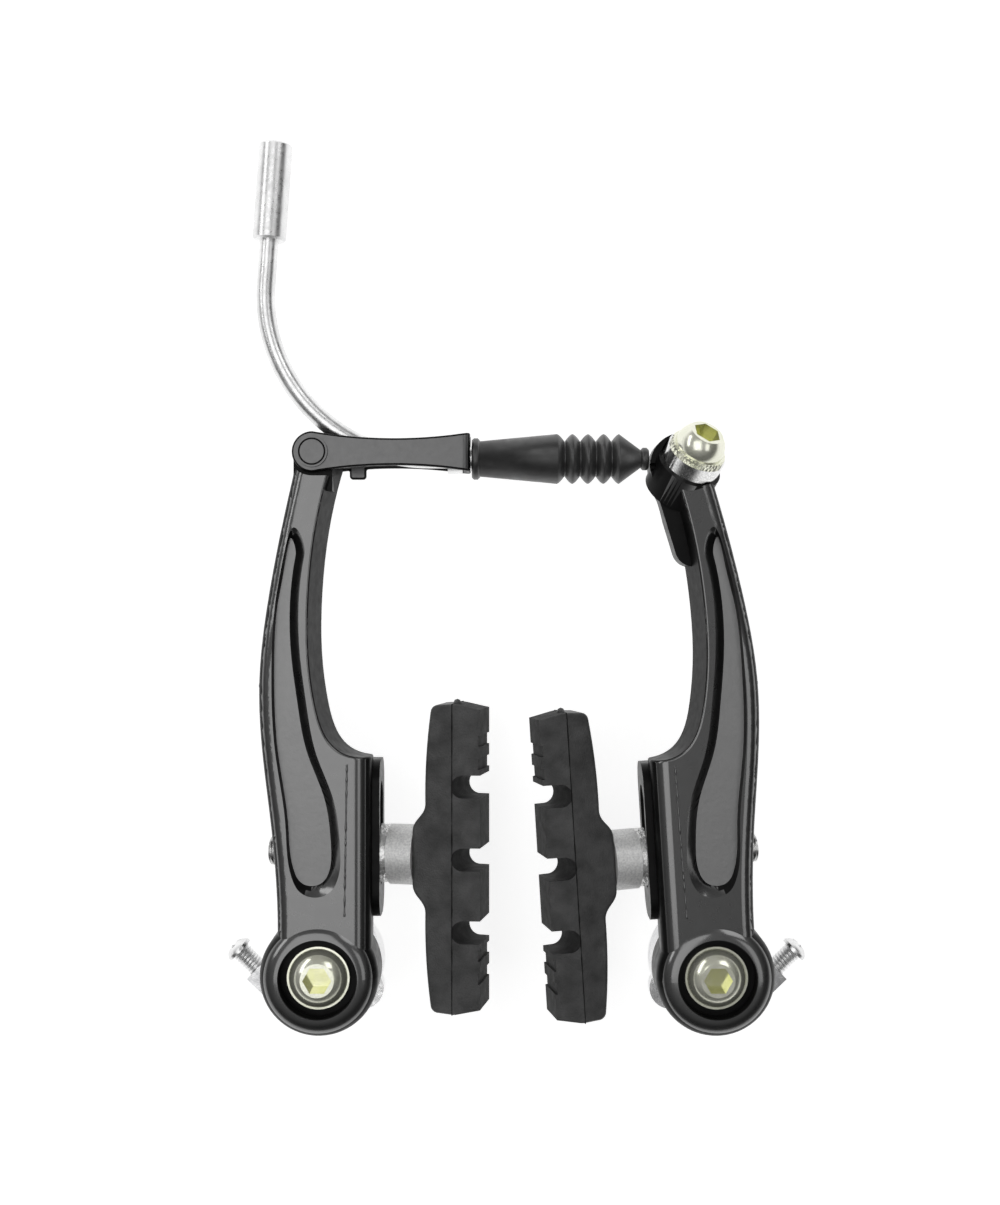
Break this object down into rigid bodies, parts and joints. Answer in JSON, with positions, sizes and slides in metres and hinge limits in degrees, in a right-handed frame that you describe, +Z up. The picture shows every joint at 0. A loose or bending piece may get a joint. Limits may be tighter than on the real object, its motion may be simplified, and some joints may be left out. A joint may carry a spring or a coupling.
{
  "type": "linear-pull rim brake",
  "caption": "Bicycle V brake: long black pivoting arms with ball-washer rubber pads, a bent cable guide held in a folded link, a bellows boot and a domed cable anchor bolt.",
  "frame": {"origin": "midway between the two pivot axes, on the plane where the spring holders meet the frame", "axes": "+X to the viewer's right, +Y away from the viewer into the frame along the pivots, +Z up the arms"},
  "size_m": [0.1212, 0.0292, 0.1805],
  "materials": {
    "arm_paint": "gloss black paint on a cast aluminium arm",
    "link_paint": "satin black coat on folded steel sheet",
    "bright_steel": "bright plated steel",
    "yellow_zinc": "polished yellow zinc plate",
    "plain_steel": "plain zinc plated steel",
    "holder_metal": "bright plated steel cup",
    "washer_metal": "bead-blasted silver steel",
    "pad_rubber": "matt moulded rubber",
    "boot_rubber": "satin black moulded rubber",
    "liner_plastic": "plain low-friction tube"
  },
  "bodies": {
    "frame_side": {"left_pivot_bush": "plain_steel", "left_pivot_bolt": "yellow_zinc", "left_spring_holder": "holder_metal", "left_return_spring": "plain_steel", "right_pivot_bush": "plain_steel", "right_pivot_bolt": "yellow_zinc", "right_spring_holder": "holder_metal", "right_return_spring": "plain_steel"},
    "left_screw": {"left_tension_screw": "bright_steel"},
    "right_screw": {"right_tension_screw": "bright_steel"},
    "left_arm": {"left_arm": "arm_paint"},
    "right_arm": {"right_arm": "arm_paint", "anchor_washer": "bright_steel", "anchor_bolt": "yellow_zinc"},
    "link": {"noodle_link": "link_paint", "link_rivet": "link_paint"},
    "noodle": {"noodle_tube": "bright_steel", "noodle_liner": "liner_plastic", "noodle_nozzle": "bright_steel", "noodle_ferrule": "bright_steel", "cable_boot": "boot_rubber"},
    "left_pad_seat": {"left_inner_dome_washer": "washer_metal", "left_outer_dome_washer": "washer_metal"},
    "left_pad_cups": {"left_inner_cup_washer": "washer_metal", "left_outer_cup_washer": "washer_metal"},
    "left_pad": {"left_brake_pad": "pad_rubber", "left_pad_post": "plain_steel", "left_flat_washer": "plain_steel", "left_pad_nut": "plain_steel"},
    "right_pad_seat": {"right_inner_dome_washer": "washer_metal", "right_outer_dome_washer": "washer_metal"},
    "right_pad_cups": {"right_inner_cup_washer": "washer_metal", "right_outer_cup_washer": "washer_metal"},
    "right_pad": {"right_brake_pad": "pad_rubber", "right_pad_post": "plain_steel", "right_flat_washer": "plain_steel", "right_pad_nut": "plain_steel"}
  },
  "joints": [
    {"name": "left_arm_pivot", "type": "hinge", "parent": "frame_side", "child": "left_arm", "pos_m": [-0.04, 0, 0], "axis": [0, -1, 0], "range_deg": [0, 25], "stiffness_Nm_per_rad": 1, "springref_deg": 8.02, "deforming": ["left_return_spring"]},
    {"name": "right_arm_pivot", "type": "hinge", "parent": "frame_side", "child": "right_arm", "pos_m": [0.04, 0, 0], "axis": [0, 1, 0], "range_deg": [0, 25], "stiffness_Nm_per_rad": 1, "springref_deg": 8.02, "deforming": ["right_return_spring"]},
    {"name": "left_screw_turn", "type": "hinge", "parent": "frame_side", "child": "left_screw", "pos_m": [-0.04764, -0.0043, -0.00791], "axis": [-0.7193, 0, 0.6947], "continuous": true},
    {"name": "right_screw_turn", "type": "hinge", "parent": "frame_side", "child": "right_screw", "pos_m": [0.04764, -0.0043, -0.00791], "axis": [0.7193, 0, 0.6947], "continuous": true},
    {"name": "link_pivot", "type": "hinge", "parent": "left_arm", "child": "link", "pos_m": [-0.0411, -0.0163, 0.1056], "axis": [0, -1, 0], "range_deg": [0, 80]},
    {"name": "noodle_swivel", "type": "hinge", "parent": "link", "child": "noodle", "pos_m": [-0.0095, -0.0163, 0.1045], "axis": [1, 0, 0], "range_deg": [-10, 10]},
    {"name": "left_pad_height", "type": "slide", "parent": "left_arm", "child": "left_pad_seat", "axis": [0, 0, 1], "range_m": [-0.0025, 0.011]},
    {"name": "left_pad_toe", "type": "hinge", "parent": "left_pad_seat", "child": "left_pad_cups", "pos_m": [-0.03145, -0.011, 0.0238], "axis": [0, 0, 1], "range_deg": [0, 11]},
    {"name": "left_pad_swivel", "type": "hinge", "parent": "left_pad_cups", "child": "left_pad", "pos_m": [-0.03145, -0.011, 0.0238], "axis": [0.9816, -0.1908, 0], "range_deg": [-90, 90]},
    {"name": "right_pad_height", "type": "slide", "parent": "right_arm", "child": "right_pad_seat", "axis": [-0.061, 0, 0.9981], "range_m": [-0.0025, 0.011]},
    {"name": "right_pad_toe", "type": "hinge", "parent": "right_pad_seat", "child": "right_pad_cups", "pos_m": [0.03001, -0.011, 0.02323], "axis": [0.061, 0, -0.9981], "range_deg": [0, 11]},
    {"name": "right_pad_swivel", "type": "hinge", "parent": "right_pad_cups", "child": "right_pad", "pos_m": [0.03001, -0.011, 0.02323], "axis": [-0.9798, -0.1908, -0.0599], "range_deg": [-90, 90]}
  ]
}
